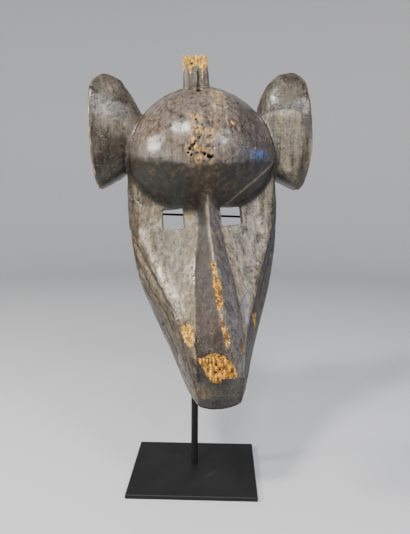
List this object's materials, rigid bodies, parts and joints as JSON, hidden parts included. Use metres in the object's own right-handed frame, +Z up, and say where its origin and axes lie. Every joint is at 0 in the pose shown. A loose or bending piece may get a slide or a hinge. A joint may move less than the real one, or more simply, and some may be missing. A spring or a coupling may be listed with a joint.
{
  "type": "carved hyena mask on a display stand",
  "caption": "Carved wooden hyena mask with cupped ears, domed forehead and long nose, held upright on a black steel rod and base plate.",
  "frame": {"origin": "under the middle of the upright rod, on the base plate's flat underside", "axes": "+Z up, the mask looks along -Y, turned 9 degrees towards +X"},
  "size_m": [0.305, 0.2178, 0.5817],
  "materials": {
    "carved_wood": "dark patina, worn and polished, with raw wood at the breaks",
    "stand_paint": "matte black paint on steel"
  },
  "bodies": {
    "root": {"mask": "carved_wood", "base_plate": "stand_paint", "upright_rod": "stand_paint", "crossbar": "stand_paint"}
  },
  "joints": []
}
